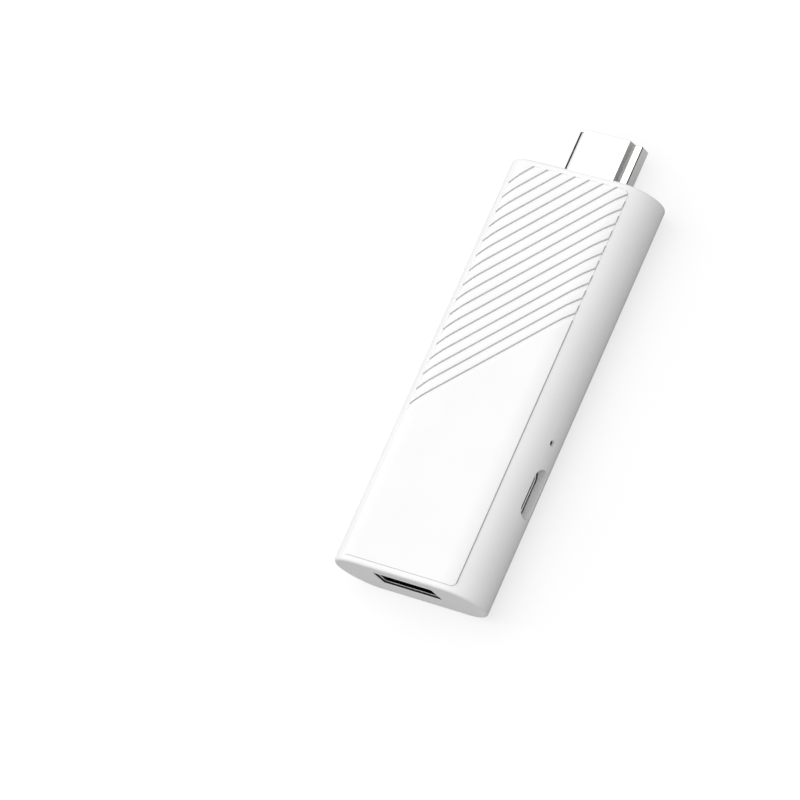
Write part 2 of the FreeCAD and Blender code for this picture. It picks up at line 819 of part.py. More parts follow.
def antenna_socket():
    x, y = socket_place
    base_top = board_top + socket_base
    half = plug_cap_radius
    base = box(x - half, x + half, y - half, y + half, board_top, base_top)
    ring = rod(socket_radius, Vec(x, y, board_top), Z, socket_height)
    return joined([base, ring]).cut(rod(socket_radius - socket_wall, Vec(x, y, base_top), Z, reach))


def antenna_plug():
    x, y = socket_place
    z0 = board_top + socket_height
    cap = rod(plug_cap_radius, Vec(x, y, z0), Z, plug_cap_height)
    end = lead_points[-1]
    neck_radius = lead_radius + plug_neck_wall
    neck = rod(neck_radius, Vec(x, end.y, end.z), Y, y - end.y)
    neck = neck.common(box(x - neck_radius, x + neck_radius, end.y, y, z0, reach))
    return joined([cap, neck])


def tube(points, radius):
    """A round lead along straight runs joined by tangent arcs."""
    edges = []
    start = points[0]
    radii = []
    for index in range(1, len(points) - 1):
        back = points[index - 1] - points[index]
        ahead = points[index + 1] - points[index]
        half_turn = (math.pi - back.getAngle(ahead)) / 2
        tangent = bend_share * min(back.Length, ahead.Length)
        arc_radius = tangent / math.tan(half_turn)
        radii.append(arc_radius)
        back.normalize()
        ahead.normalize()
        inwards = back + ahead
        inwards.normalize()
        first = points[index] + back * tangent
        last = points[index] + ahead * tangent
        middle = points[index] + inwards * (arc_radius / math.cos(half_turn) - arc_radius)
        edges.append(Part.LineSegment(start, first).toShape())
        edges.append(Part.Arc(first, middle, last).toShape())
        start = last
    edges.append(Part.LineSegment(start, points[-1]).toShape())
    path = Part.Wire(edges)
    direction = points[1] - points[0]
    circle = Part.Wire(Part.makeCircle(radius, points[0], direction))
    solid = path.makePipeShell([circle], True, True)
    expected = math.pi * radius ** 2 * path.Length
    print(
        "lead: length %.1f, smallest bend radius %.1f, volume over section times length %.4f"
        % (path.Length, min(radii), solid.Volume / expected)
    )
    return solid


def board_screws():
    group = []
    head_top = board_top + screw_head_height
    slot_z = head_top - screw_slot_depth
    for x, y in screw_places:
        head = rod(screw_head_radius, Vec(x, y, board_top), Z, screw_head_height)
        top_edges = [edge for edge in head.Edges if edge.BoundBox.ZMin > head_top - tiny]
        head = head.makeFillet(screw_head_round, top_edges)
        shank = rod(screw_radius, Vec(x, y, screw_end_z), Z, board_top - screw_end_z)
        slots = []
        for half_x, half_y in (
            (screw_slot_half_length, screw_slot_half_width),
            (screw_slot_half_width, screw_slot_half_length),
        ):
            slots.append(box(x - half_x, x + half_x, y - half_y, y + half_y, slot_z, reach))
        group.append(joined([head, shank]).cut(slots))
    return group


# Places of the inner pieces
usb_c_centre_z = board_top + usb_c_height / 2
usb_c_rear_x = usb_c_mouth_x - usb_c_depth + sheet
usb_c_tongue_x1 = usb_c_mouth_x - usb_c_tongue_recess
usb_c_tongue_z0 = usb_c_centre_z - usb_c_tongue_thickness / 2
usb_c_tongue_z1 = usb_c_centre_z + usb_c_tongue_thickness / 2
side_hole_x = flat_half + 3.0    # the side's holes are cut from here outwards
hdmi_slot_z0 = plug_back_z + hdmi_slot_depth
hdmi_slot_z1 = hdmi_slot_z0 + hdmi_slot_height
usb_a_tongue_z1 = board_top + usb_a_height - sheet - usb_a_tongue_drop
usb_a_tongue_z0 = usb_a_tongue_z1 - usb_a_tongue_thickness
usb_a_tongue_y0 = usb_a_mouth_y + usb_a_tongue_recess
usb_a_rear_y = usb_a_mouth_y + usb_a_depth - sheet
usb_a_drop_y = usb_a_rear_y - 1.0
usb_a_window_half = usb_a_strip_xs[-1] + usb_a_strip_half + window_margin
usb_a_leg_ys = (usb_a_mouth_y + 4.5, usb_a_mouth_y + 11.5)
usb_c_leg_xs = (8.4, 10.4)
chip_height = 1.1
pad_height = 1.0
pad_inset = 0.8
fin_count = 8
fin_thickness = 0.8
fin_top = cover_under - 0.8
spreader_plate = 1.0
spreader_corner = 1.0        # corner radius of its plate, and how far its fins stop short of the ends
shield_box = (-9.4, 9.4, -10.2, 15.0)
shield_height = 1.9
shield_thickness = 0.2
shield_corner = 0.5
shield_rim = 1.0
processor_place = (0.0, -2.4, 13.0, 13.0)
memory_places = ((-4.3, 9.4, 7.5, 9.0), (4.3, 9.4, 7.5, 9.0))
wireless_place = (-0.6, 22.0)
wireless_half = 6.0
wireless_board = 0.8
can_inset = 0.6
can_height = 1.4
can_corner = 0.6
socket_place = (-9.9, 20.6)
socket_radius = 1.0
socket_height = 1.0
socket_base = 0.35
socket_wall = 0.25
plug_cap_radius = 1.25
plug_cap_height = 0.7
plug_neck_wall = 0.12
antenna_x0 = -12.9
antenna_x1 = -12.3
antenna_y0 = -2.4
antenna_y1 = 24.6
antenna_z0 = 3.8
antenna_z1 = 9.6
slot_gap = 0.04
feed_half = 0.75
feed_length = 2.0
coil_body_share = 0.8        # of a coil's height that its square body takes
coil_drum_share = 0.42       # of its width that is the drum's radius
bend_share = 0.45            # of the shorter run beside a bend of the lead that its arc takes
lead_radius = 0.565
lead_start_z = board_top + 1.6
lead_end_z = board_top + 1.45
lead_points = [
    Vec(-11.7, 3.0, lead_start_z),
    Vec(-11.7, 7.5, lead_start_z),
    Vec(-11.1, 12.0, lead_start_z),
    Vec(socket_place[0], 16.0, lead_end_z),
    Vec(socket_place[0], 18.6, lead_end_z),
]

hdmi_strips = hdmi_contacts()
usb_a_strips = usb_a_contacts()
usb_c_strips = usb_c_contacts()

save("rear_shell", rear_shell())
save("front_cover", front_cover())
save("main_board", main_board())
save("board_screws", Part.makeCompound(board_screws()))

save("hdmi_shell", hdmi_shell())
save("hdmi_insulator", hdmi_insulator(hdmi_strips))
save("hdmi_contacts", Part.makeCompound(hdmi_strips))

save("usb_a_shell", usb_a_shell())
save("usb_a_tongue", usb_a_tongue(usb_a_strips))
save("usb_a_contacts", Part.makeCompound(usb_a_strips))

save("usb_c_shell", usb_c_shell())
save("usb_c_tongue", usb_c_tongue(usb_c_strips))
save("usb_c_contacts", Part.makeCompound(usb_c_strips))

save("reset_switch_base", reset_switch_base())
save("reset_switch_cover", reset_switch_cover())
save("reset_dome", reset_dome())
save("reset_plunger", reset_plunger())

save("processor", chip(*processor_place, chip_height))
save("memory_chips", Part.makeCompound([chip(*place, chip_height) for place in memory_places]))
save("flash_chip", chip(0.0, -2.4, 11.5, 13.0, 1.0, below=True))
save("power_chip", chip(-3.0, -22.5, 5.0, 5.0, 0.9, 0.2))
save("shield_frame", shield_frame())
save("thermal_pads", Part.makeCompound(thermal_pads()))
save("heat_spreader", heat_spreader())

save("wireless_module", wireless_module())
save("wireless_can", wireless_can())
save("antenna_strip", antenna_strip())
save("antenna_socket", antenna_socket())
save("antenna_plug", antenna_plug())
save("antenna_lead", tube(lead_points, lead_radius))

save("crystal", Part.makeCompound(small_parts([(7.4, 18.2)], 3.2, 2.5, 0.8)))
save("power_coils", Part.makeCompound(coil_parts([(-8.6, -27.0), (-8.6, -22.5), (-8.6, -18.0)], 3.0, 1.8)))
capacitor_places = [(x, y) for x in (1.5, 3.5) for y in (-26.5, -24.5, -22.5, -20.5, -18.5)]
save("power_capacitors", Part.makeCompound(small_parts(capacitor_places, 1.25, 0.8, 0.8)))
resistor_places = [(7.0, y) for y in (21.0, 22.2, 23.4, 24.6)]
resistor_places += [(x, -12.4) for x in (-7.0, -5.0, -3.0, -1.0, 1.0)]
save("resistors", Part.makeCompound(small_parts(resistor_places, 1.0, 0.5, 0.35)))
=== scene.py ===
# %% [markdown]
# This lesson dresses a packed streaming stick for its portrait. The engineering model gives every
# piece at its real size, in metres, with the stick lying on its back: X runs across it, Y along it
# towards the HDMI plug, and Z out of the ribbed front cover. Its shapes are already right, so the
# work is in the camera, the light and above all the finishes. One piece alone is made anew: a small
# dome inside, under the reset plunger, copied from the CAD one.

# %% Load the frame
import json
import math

import bmesh
import bpy
from mathutils import Matrix, Vector


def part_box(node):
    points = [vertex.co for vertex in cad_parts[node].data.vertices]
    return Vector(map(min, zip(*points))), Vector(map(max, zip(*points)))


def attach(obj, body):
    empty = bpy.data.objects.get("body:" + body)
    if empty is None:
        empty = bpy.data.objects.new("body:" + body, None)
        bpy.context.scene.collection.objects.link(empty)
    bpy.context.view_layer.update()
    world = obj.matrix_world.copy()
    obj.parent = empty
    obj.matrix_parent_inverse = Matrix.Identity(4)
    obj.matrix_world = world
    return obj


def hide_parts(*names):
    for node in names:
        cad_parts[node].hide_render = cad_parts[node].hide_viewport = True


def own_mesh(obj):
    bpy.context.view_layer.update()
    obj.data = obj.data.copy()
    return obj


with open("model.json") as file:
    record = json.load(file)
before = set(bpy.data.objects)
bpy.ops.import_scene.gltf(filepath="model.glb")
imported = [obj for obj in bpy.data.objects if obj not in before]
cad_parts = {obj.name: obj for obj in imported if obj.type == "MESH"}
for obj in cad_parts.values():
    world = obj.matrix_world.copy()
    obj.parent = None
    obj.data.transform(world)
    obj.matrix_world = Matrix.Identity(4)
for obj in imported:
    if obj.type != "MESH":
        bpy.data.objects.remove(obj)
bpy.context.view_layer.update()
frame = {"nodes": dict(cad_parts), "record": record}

MM = 0.001
nodes = frame["nodes"]

# %% [markdown]
# The sizes that later cells need are read from the frame. The housing's box gives the body, and the
# mount of the USB-A socket gives the middle of its hole in the bottom end.

# %% Sizes of the body
body_low, body_high = (Vector(corner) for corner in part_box("rear_shell"))
body_size = body_high - body_low
body_middle = (body_low + body_high) / 2
mounts = {mount["name"]: Vector(mount["pos_m"]) for mount in frame["record"]["mounts"]}
usb_a_middle = mounts["usb_a_socket"]
print("body %.1f x %.1f x %.1f mm" % tuple(value / MM for value in body_size))
print("USB-A hole %.2f mm above the floor" % (usb_a_middle.z / MM))

# %% [markdown]
# The camera stands about a metre away with a long lens. Its direction is written as an azimuth from
# straight above the cover towards +X, and an elevation towards the plug. The roll turns the picture,
# and the aim swings the camera a little so that the body's middle is right of the picture's middle.

# %% Camera
PICTURE = 800.0
SENSOR = 36.0
camera_azimuth = math.radians(32.45)
camera_elevation = math.radians(-13.52)
camera_roll = math.radians(23.93)
camera_distance = 994.8 * MM
focal_pixels = 5420.5
middle_in_picture = (500.4, 385.5)


def view_basis(azimuth, elevation, roll):
    """Columns: the picture's right, its up, and the direction back to the camera."""
    back = Vector((
        math.sin(azimuth) * math.cos(elevation),
        math.sin(elevation),
        math.cos(azimuth) * math.cos(elevation),
    ))
    up = (Vector((0, 1, 0)) - back * back.y).normalized()
    right = up.cross(back)
    turned_right = right * math.cos(roll) + up * math.sin(roll)
    turned_up = up * math.cos(roll) - right * math.sin(roll)
    return Matrix((turned_right, turned_up, back)).transposed()


def aim(basis, pixel):
    """Swings the camera until what it looked straight at appears at the given pixel."""
    wanted = Vector((
        (pixel[0] - PICTURE / 2) / focal_pixels,
        (PICTURE / 2 - pixel[1]) / focal_pixels,
        -1,
    ))
    swing = Vector((0, 0, -1)).rotation_difference(wanted).to_matrix()
    return basis @ swing.transposed()


camera_data = bpy.data.cameras.new("portrait_camera")
camera_data.sensor_width = SENSOR
camera_data.lens = focal_pixels / PICTURE * SENSOR
camera = bpy.data.objects.new("portrait_camera", camera_data)
bpy.context.scene.collection.objects.link(camera)
basis = view_basis(camera_azimuth, camera_elevation, camera_roll)
place = body_middle + basis.col[2] * camera_distance
camera.matrix_world = Matrix.Translation(place) @ aim(basis, middle_in_picture).to_4x4()
bpy.context.scene.camera = camera
print("camera at", [round(value, 3) for value in place], "lens %.0f mm" % camera_data.lens)

# %% [markdown]
# A product portrait on white needs a floor that reads as white without flooding the object with
# light. Part of the floor's white is its own glow, which only the camera, mirrors and clear things
# see, and the rest is an ordinary pale surface, which keeps the object's shadow and bounces a little
# light up. The room does the same: white to look at, softer as a source of light.

# %% Floor and room
bpy.context.scene.view_settings.view_transform = "Standard"
FLOOR_HALF = 1.5
FLOOR_COLOUR = 0.33
FLOOR_GLOW = 0.69
ROOM_LEVEL = 0.60


def add_node(tree, kind, at, **settings):
    node = tree.nodes.new(kind)
    node.location = at
    for name, value in settings.items():
        setattr(node, name, value)
    return node


def seen_directly(tree, at):
    """One for camera, mirror and see-through rays, and zero for light that bounces."""
    path = add_node(tree, "ShaderNodeLightPath", at)
    first = add_node(tree, "ShaderNodeMath", (at[0] + 180, at[1]), operation="MAXIMUM")
    second = add_node(tree, "ShaderNodeMath", (at[0] + 360, at[1]), operation="MAXIMUM")
    tree.links.new(path.outputs["Is Camera Ray"], first.inputs[0])
    tree.links.new(path.outputs["Is Glossy Ray"], first.inputs[1])
    tree.links.new(first.outputs[0], second.inputs[0])
    tree.links.new(path.outputs["Is Transmission Ray"], second.inputs[1])
    return second.outputs[0]


def link_object(name, mesh):
    thing = bpy.data.objects.new(name, mesh)
    bpy.context.scene.collection.objects.link(thing)
    return thing


def mesh_from(bm, name):
    mesh = bpy.data.meshes.new(name)
    bm.to_mesh(mesh)
    bm.free()
    return mesh


def floor_material():
    material = bpy.data.materials.new("pale_floor")
    material.use_nodes = True
    tree = material.node_tree
    tree.nodes.clear()
    matt = add_node(tree, "ShaderNodeBsdfDiffuse", (0, 0))
    matt.inputs["Color"].default_value = (FLOOR_COLOUR, FLOOR_COLOUR, FLOOR_COLOUR, 1)
    glow = add_node(tree, "ShaderNodeEmission", (0, -160))
    glow.inputs["Color"].default_value = (1, 1, 1, 1)
    strength = add_node(tree, "ShaderNodeMath", (-180, -160), operation="MULTIPLY")
    strength.inputs[1].default_value = FLOOR_GLOW
    tree.links.new(seen_directly(tree, (-760, -160)), strength.inputs[0])
    tree.links.new(strength.outputs[0], glow.inputs["Strength"])
    both = add_node(tree, "ShaderNodeAddShader", (200, 0))
    tree.links.new(matt.outputs[0], both.inputs[0])
    tree.links.new(glow.outputs[0], both.inputs[1])
    out = add_node(tree, "ShaderNodeOutputMaterial", (400, 0))
    tree.links.new(both.outputs[0], out.inputs["Surface"])
    return material


def build_floor():
    bm = bmesh.new()
    bmesh.ops.create_grid(bm, x_segments=1, y_segments=1, size=FLOOR_HALF)
    floor = link_object("floor", mesh_from(bm, "floor"))
    floor.data.materials.append(floor_material())


def build_room():
    world = bpy.data.worlds.new("room")
    bpy.context.scene.world = world
    world.use_nodes = True
    tree = world.node_tree
    tree.nodes.clear()
    sky = add_node(tree, "ShaderNodeBackground", (0, 0))
    sky.inputs["Color"].default_value = (1, 1, 1, 1)
    level = add_node(tree, "ShaderNodeMapRange", (-200, 0))
    level.inputs["To Min"].default_value = ROOM_LEVEL
    level.inputs["To Max"].default_value = 1.0
    tree.links.new(seen_directly(tree, (-760, 0)), level.inputs["Value"])
    tree.links.new(level.outputs["Result"], sky.inputs["Strength"])
    out = add_node(tree, "ShaderNodeOutputWorld", (200, 0))
    tree.links.new(sky.outputs[0], out.inputs["Surface"])


build_floor()
build_room()
print("floor %.1f m wide, room level %.2f" % (FLOOR_HALF * 2, ROOM_LEVEL))

# %% [markdown]
# Three soft lamps light the stick: a broad one above it, a little to the left, and a weaker one on
# each side, so that the cover is the brightest face and the round right side falls off evenly.
# Bright metal shows nothing but its surroundings, so cards stand and lie beside the stick that only
# reflections see. The ones far out and on the floor give the plug's side walls their middle tone, and
# the small ones close to the plug draw its narrow bands: the steep wall's grey, the white of the
# shoulder and the dark lines along its edges. The ones under the round sides are a painted shadow:
# black under the stick with a pale strip outside, they stand in for the floor's shadow there, so that
# plastic seen at a low angle doesn't shine. No card throws a shadow.

# %% Lamps and cards
LAMP_DISTANCE = 0.9
LAMPS = {
    "soft_lamp": ((-0.32, 0.08, 0.94), (0.95, 0.80), 2.4),
    "right_lamp": ((0.42, 0.0, 0.90), (0.50, 0.65), 1.28),
    "left_lamp": ((-0.94, 0.0, 0.34), (0.50, 0.65), 1.9),
}
CARD_LIFT = 0.2 * MM
GREYS = {"black": 0.012, "grey": 0.29, "pale": 0.60, "light": 0.66, "white": 0.85}
ALL_ALONG = (-450.0, 450.0)
BESIDE_BODY = (-47.0, 36.4)
BESIDE_PLUG = (36.5, 50.0)
# grey, its extent along the stick, and its short side's two ends as (x, z), all in millimetres
CARDS = {
    "left_card": ("black", ALL_ALONG, (-300, 0), (-300, 220)),
    "right_card": ("black", ALL_ALONG, (300, 0), (300, 100)),
    "left_floor": ("grey", ALL_ALONG, (-300, 0), (-21, 0)),
    "right_floor": ("grey", ALL_ALONG, (21, 0), (300, 0)),
    # painted shadow under the round sides, which only reflections see
    "left_shadow_card": ("black", BESIDE_BODY, (-15.6, 0), (-9.6, 0)),
    "right_shadow_card": ("black", BESIDE_BODY, (9.6, 0), (15.6, 0)),
    "left_strip": ("pale", BESIDE_BODY, (-18.5, 0), (-15.6, 0)),
    "right_strip": ("pale", BESIDE_BODY, (15.6, 0), (18.5, 0)),
    "left_plug_floor": ("pale", BESIDE_PLUG, (-21, 0), (-7.5, 0)),
    "right_plug_floor": ("pale", BESIDE_PLUG, (7.5, 0), (21, 0)),
    "left_plug_edge": ("black", BESIDE_PLUG, (-14, 6.7), (-7.19, 6.7)),
    "right_plug_wall": ("light", BESIDE_PLUG, (7.95, 4.4), (7.95, 6.4)),
    "right_plug_shoulder": ("white", BESIDE_PLUG, (7.95, 6.4), (7.95, 7.75)),
    "right_plug_edge": ("black", BESIDE_PLUG, (7.95, 7.75), (7.95, 10.5)),
}


def build_lamp(name, direction, size, power):
    """A rectangular lamp that looks at the middle of the body from the given direction."""
    data = bpy.data.lights.new(name, "AREA")
    data.shape = "RECTANGLE"
    data.size, data.size_y = size
    data.energy = power
    lamp = bpy.data.objects.new(name, data)
    bpy.context.scene.collection.objects.link(lamp)
    towards = Vector(direction).normalized()
    lamp.location = body_middle + towards * LAMP_DISTANCE
    lamp.rotation_euler = towards.to_track_quat("Z", "Y").to_euler()
    return lamp


def card_material(name, grey):
    material = bpy.data.materials.new(name)
    material.use_nodes = True
    shader = material.node_tree.nodes["Principled BSDF"]
    shader.inputs["Base Color"].default_value = (grey, grey, grey, 1)
    shader.inputs["Roughness"].default_value = 0.9
    return material


def build_card(name, material, along, start, end):
    """A card along the stick, just off the floor; its short side joins two points of the XZ plane."""
    bm = bmesh.new()
    corners = [bm.verts.new((x * MM, along[0] * MM, z * MM + CARD_LIFT)) for x, z in (start, end)]
    short_side = bm.edges.new(corners)
    grown = bmesh.ops.extrude_edge_only(bm, edges=[short_side])["geom"]
    far_corners = [item for item in grown if isinstance(item, bmesh.types.BMVert)]
    bmesh.ops.translate(bm, vec=(0, (along[1] - along[0]) * MM, 0), verts=far_corners)
    card = link_object(name, mesh_from(bm, name))
    card.data.materials.append(material)
    card.visible_camera = False
    card.visible_diffuse = False
    card.visible_shadow = False
    return card


lamps = [build_lamp(name, *values) for name, values in LAMPS.items()]
card_materials = {name: card_material(name + "_card", grey) for name, grey in GREYS.items()}
cards = [build_card(name, card_materials[grey], *extent) for name, (grey, *extent) in CARDS.items()]
print("lamps", [lamp.name for lamp in lamps], "cards", [card.name for card in cards])

# %% [markdown]
# Four effects are shared by many finishes, so each is a node group, built once: the fine grain of
# moulded parts, the long drawn lines of sheet metal, slow patches that keep large faces from
# looking computed, and a mask round a box. The mask measures the distance to the box, so with a
# large radius the box may shrink to a line or a sheet, and the masked space is round. All of them
# read Object coordinates, so they stay in place on the piece from every side.

# %% Shared effects


def new_group(name, inputs, outputs):
    """An empty shader group with named sockets; gives the group, its input node and its output node."""
    tree = bpy.data.node_groups.new(name, "ShaderNodeTree")
    for socket, kind in inputs.items():
        tree.interface.new_socket(socket, in_out="INPUT", socket_type=kind)
    for socket in outputs:
        tree.interface.new_socket(socket, in_out="OUTPUT", socket_type="NodeSocketFloat")
    entry = add_node(tree, "NodeGroupInput", (-900, 0))
    leave = add_node(tree, "NodeGroupOutput", (500, 0))
    return tree, entry, leave


def grain_group():
    """Fine pits and grains of a textured mould."""
    tree, entry, leave = new_group("mould_grain", {"Scale": "NodeSocketFloat"}, ["Height"])
    where = add_node(tree, "ShaderNodeTexCoord", (-700, 0))
    cloud = add_node(tree, "ShaderNodeTexNoise", (-300, 100))
    cloud.inputs["Detail"].default_value = 3.0
    cloud.inputs["Roughness"].default_value = 0.6
    cells = add_node(tree, "ShaderNodeTexVoronoi", (-300, -200), feature="SMOOTH_F1")
    cells.inputs["Smoothness"].default_value = 0.6
    both = add_node(tree, "ShaderNodeMath", (0, 0), operation="MULTIPLY_ADD")
    both.inputs[1].default_value = 0.5
    for texture in (cloud, cells):
        tree.links.new(where.outputs["Object"], texture.inputs["Vector"])
        tree.links.new(entry.outputs["Scale"], texture.inputs["Scale"])
    tree.links.new(cells.outputs["Distance"], both.inputs[0])
    tree.links.new(cloud.outputs["Fac"], both.inputs[2])
    tree.links.new(both.outputs[0], leave.inputs["Height"])
    return tree


def drawn_group():
    """Long fine lines, as drawing or rolling leaves them; Lines holds the count per metre on each axis."""
    tree, entry, leave = new_group("drawn_lines", {"Lines": "NodeSocketVector"}, ["Height"])
    where = add_node(tree, "ShaderNodeTexCoord", (-700, 0))
    stretch = add_node(tree, "ShaderNodeVectorMath", (-500, 0), operation="MULTIPLY")
    cloud = add_node(tree, "ShaderNodeTexNoise", (-300, 0))
    cloud.inputs["Scale"].default_value = 1.0
    cloud.inputs["Detail"].default_value = 4.0
    cloud.inputs["Roughness"].default_value = 0.65
    tree.links.new(where.outputs["Object"], stretch.inputs[0])
    tree.links.new(entry.outputs["Lines"], stretch.inputs[1])
    tree.links.new(stretch.outputs[0], cloud.inputs["Vector"])
    tree.links.new(cloud.outputs["Fac"], leave.inputs["Height"])
    return tree


def patches_group():
    """Slow patches, pulled apart to the full range from zero to one."""
    tree, entry, leave = new_group("slow_patches", {"Scale": "NodeSocketFloat"}, ["Value"])
    where = add_node(tree, "ShaderNodeTexCoord", (-700, 0))
    cloud = add_node(tree, "ShaderNodeTexNoise", (-300, 0))
    cloud.inputs["Detail"].default_value = 2.0
    spread = add_node(tree, "ShaderNodeMapRange", (-50, 0))
    spread.inputs["From Min"].default_value = 0.3
    spread.inputs["From Max"].default_value = 0.7
    tree.links.new(where.outputs["Object"], cloud.inputs["Vector"])
    tree.links.new(entry.outputs["Scale"], cloud.inputs["Scale"])
    tree.links.new(cloud.outputs["Fac"], spread.inputs["Value"])
    tree.links.new(spread.outputs["Result"], leave.inputs["Value"])
    return tree


def near_box_group():
    """One nearer than Radius to the box of the given Middle and Half size, and zero beyond."""
    inputs = {"Middle": "NodeSocketVector", "Half": "NodeSocketVector", "Radius": "NodeSocketFloat"}
    tree, entry, leave = new_group("near_box", inputs, ["Mask"])
    where = add_node(tree, "ShaderNodeTexCoord", (-900, 200))
    centred = add_node(tree, "ShaderNodeVectorMath", (-700, 100), operation="SUBTRACT")
    mirrored = add_node(tree, "ShaderNodeVectorMath", (-500, 100), operation="ABSOLUTE")
    beyond = add_node(tree, "ShaderNodeVectorMath", (-350, 0), operation="SUBTRACT")
    outside = add_node(tree, "ShaderNodeVectorMath", (-150, 0), operation="MAXIMUM")
    distance = add_node(tree, "ShaderNodeVectorMath", (50, 0), operation="LENGTH")
    mask = add_node(tree, "ShaderNodeMath", (250, 0), operation="LESS_THAN")
    tree.links.new(where.outputs["Object"], centred.inputs[0])
    tree.links.new(entry.outputs["Middle"], centred.inputs[1])
    tree.links.new(centred.outputs[0], mirrored.inputs[0])
    tree.links.new(mirrored.outputs[0], beyond.inputs[0])
    tree.links.new(entry.outputs["Half"], beyond.inputs[1])
    tree.links.new(beyond.outputs[0], outside.inputs[0])
    tree.links.new(outside.outputs[0], distance.inputs[0])
    tree.links.new(distance.outputs["Value"], mask.inputs[0])
    tree.links.new(entry.outputs["Radius"], mask.inputs[1])
    tree.links.new(mask.outputs[0], leave.inputs["Mask"])
    return tree


effects = {
    "grain": grain_group(), "drawn": drawn_group(),
    "patches": patches_group(), "near_box": near_box_group(),
}
print("shared effects", [tree.name for tree in effects.values()])

# %% [markdown]
# A finish is built from small steps, each of which adds one thing to the shader: a colour that
# drifts between two close tones, a roughness that drifts with it, and a relief from one of the
# groups. The relief depths are true ones, a few thousandths of a millimetre, as on the real part.

# %% Steps that build a finish
NODE_STEP = 60
# a Mix node has a set of sockets for each kind of data, and these are the ones for colours
MIX_FIRST, MIX_SECOND, MIX_RESULT = 6, 7, 2


def new_finish(name, **sockets):
    """A material with its shader; sockets that are the same all over are set on the shader itself."""
    material = bpy.data.materials.new(name)
    material.use_nodes = True
    shader = material.node_tree.nodes["Principled BSDF"]
    for socket, value in sockets.items():
        shader.inputs[socket.replace("_", " ").title()].default_value = value
    return material


def add_effect(material, effect, at, **values):
    """Places a shared group in a material with its own values."""
    node = add_node(material.node_tree, "ShaderNodeGroup", at, node_tree=effects[effect])
    for socket, value in values.items():
        node.inputs[socket].default_value = value
    return node


def opaque(colour):
    return (*colour, 1.0)


def mix_colours(material, factor, first, second, at):
    """A colour between two others; each may be three numbers or another node's output."""
    tree = material.node_tree
    node = add_node(tree, "ShaderNodeMix", at, data_type="RGBA")
    tree.links.new(factor, node.inputs["Factor"])
    for socket, colour in ((node.inputs[MIX_FIRST], first), (node.inputs[MIX_SECOND], second)):
        if isinstance(colour, bpy.types.NodeSocket):
            tree.links.new(colour, socket)
        else:
            socket.default_value = opaque(colour)
    return node.outputs[MIX_RESULT]


def set_colour(material, colour):
    tree = material.node_tree
    tree.links.new(colour, tree.nodes["Principled BSDF"].inputs["Base Color"])


def vary_roughness(material, factor, low, high):
    tree = material.node_tree
    spread = add_node(tree, "ShaderNodeMapRange", (-300, -150))
    spread.inputs["To Min"].default_value = low
    spread.inputs["To Max"].default_value = high
    tree.links.new(factor, spread.inputs["Value"])
    tree.links.new(spread.outputs["Result"], tree.nodes["Principled BSDF"].inputs["Roughness"])


def add_relief(material, height, depth):
    tree = material.node_tree
    bump = add_node(tree, "ShaderNodeBump", (-300, -450))
    bump.inputs["Strength"].default_value = 1.0
    bump.inputs["Distance"].default_value = depth
    tree.links.new(height, bump.inputs["Height"])
    tree.links.new(bump.outputs["Normal"], tree.nodes["Principled BSDF"].inputs["Normal"])


def paint_over(material, middle, half, radius, colour):
    """Gives a finish another colour nearer than radius to a box; gives back the painted places' mask."""
    tree = material.node_tree
    height = NODE_STEP * len(tree.nodes)
    box = add_effect(material, "near_box", (-600, height), Middle=middle, Half=half, Radius=radius)
    own = tree.nodes["Principled BSDF"].inputs["Base Color"].links[0].from_socket
    set_colour(material, mix_colours(material, box.outputs["Mask"], own, colour, (-100, height)))
    return box.outputs["Mask"]


def moulded(name, dark, light, rough, grain_size, depth, patch_size=12 * MM):
    """Moulded plastic, rubber or ceramic: two close tones, a grain and its relief."""
    material = new_finish(name)
    patches = add_effect(material, "patches", (-900, 100), Scale=1 / patch_size).outputs["Value"]
    grain = add_effect(material, "grain", (-900, -300), Scale=1 / grain_size).outputs["Height"]
    set_colour(material, mix_colours(material, patches, dark, light, (-300, 150)))
    vary_roughness(material, patches, *rough)
    add_relief(material, grain, depth)
    return material


def drawn_metal(name, dark, light, rough, lines, depth):
    """Rolled or drawn metal: tones and roughness follow long lines in one direction."""
    material = new_finish(name, metallic=1.0)
    drawn = add_effect(material, "drawn", (-900, 0), Lines=lines).outputs["Height"]
    set_colour(material, mix_colours(material, drawn, dark, light, (-300, 150)))
    vary_roughness(material, drawn, *rough)
    add_relief(material, drawn, depth)
    return material


ALONG_Y = (9000.0, 500.0, 9000.0)
ALONG_X = (500.0, 9000.0, 9000.0)
finishes = {}
print("lines per metre, along the stick", ALONG_Y)

# %% [markdown]
# The housing and the cover are white ABS from a finely textured mould. Up close the texture is a
# grain of about a tenth of a millimetre, and from a distance it only takes the shine off. The cover
# comes from a mould of its own and is a touch smoother than the housing.

# %% White plastic
WHITE_DARK = (0.925, 0.926, 0.93)
WHITE_LIGHT = (0.95, 0.951, 0.955)
finishes["housing_white"] = moulded(
    "housing_white", WHITE_DARK, WHITE_LIGHT, (0.52, 0.62), 0.11 * MM, 0.004 * MM,
)
finishes["cover_white"] = moulded(
    "cover_white", WHITE_DARK, WHITE_LIGHT, (0.50, 0.60), 0.11 * MM, 0.004 * MM,
)
print("white plastic", len(finishes))
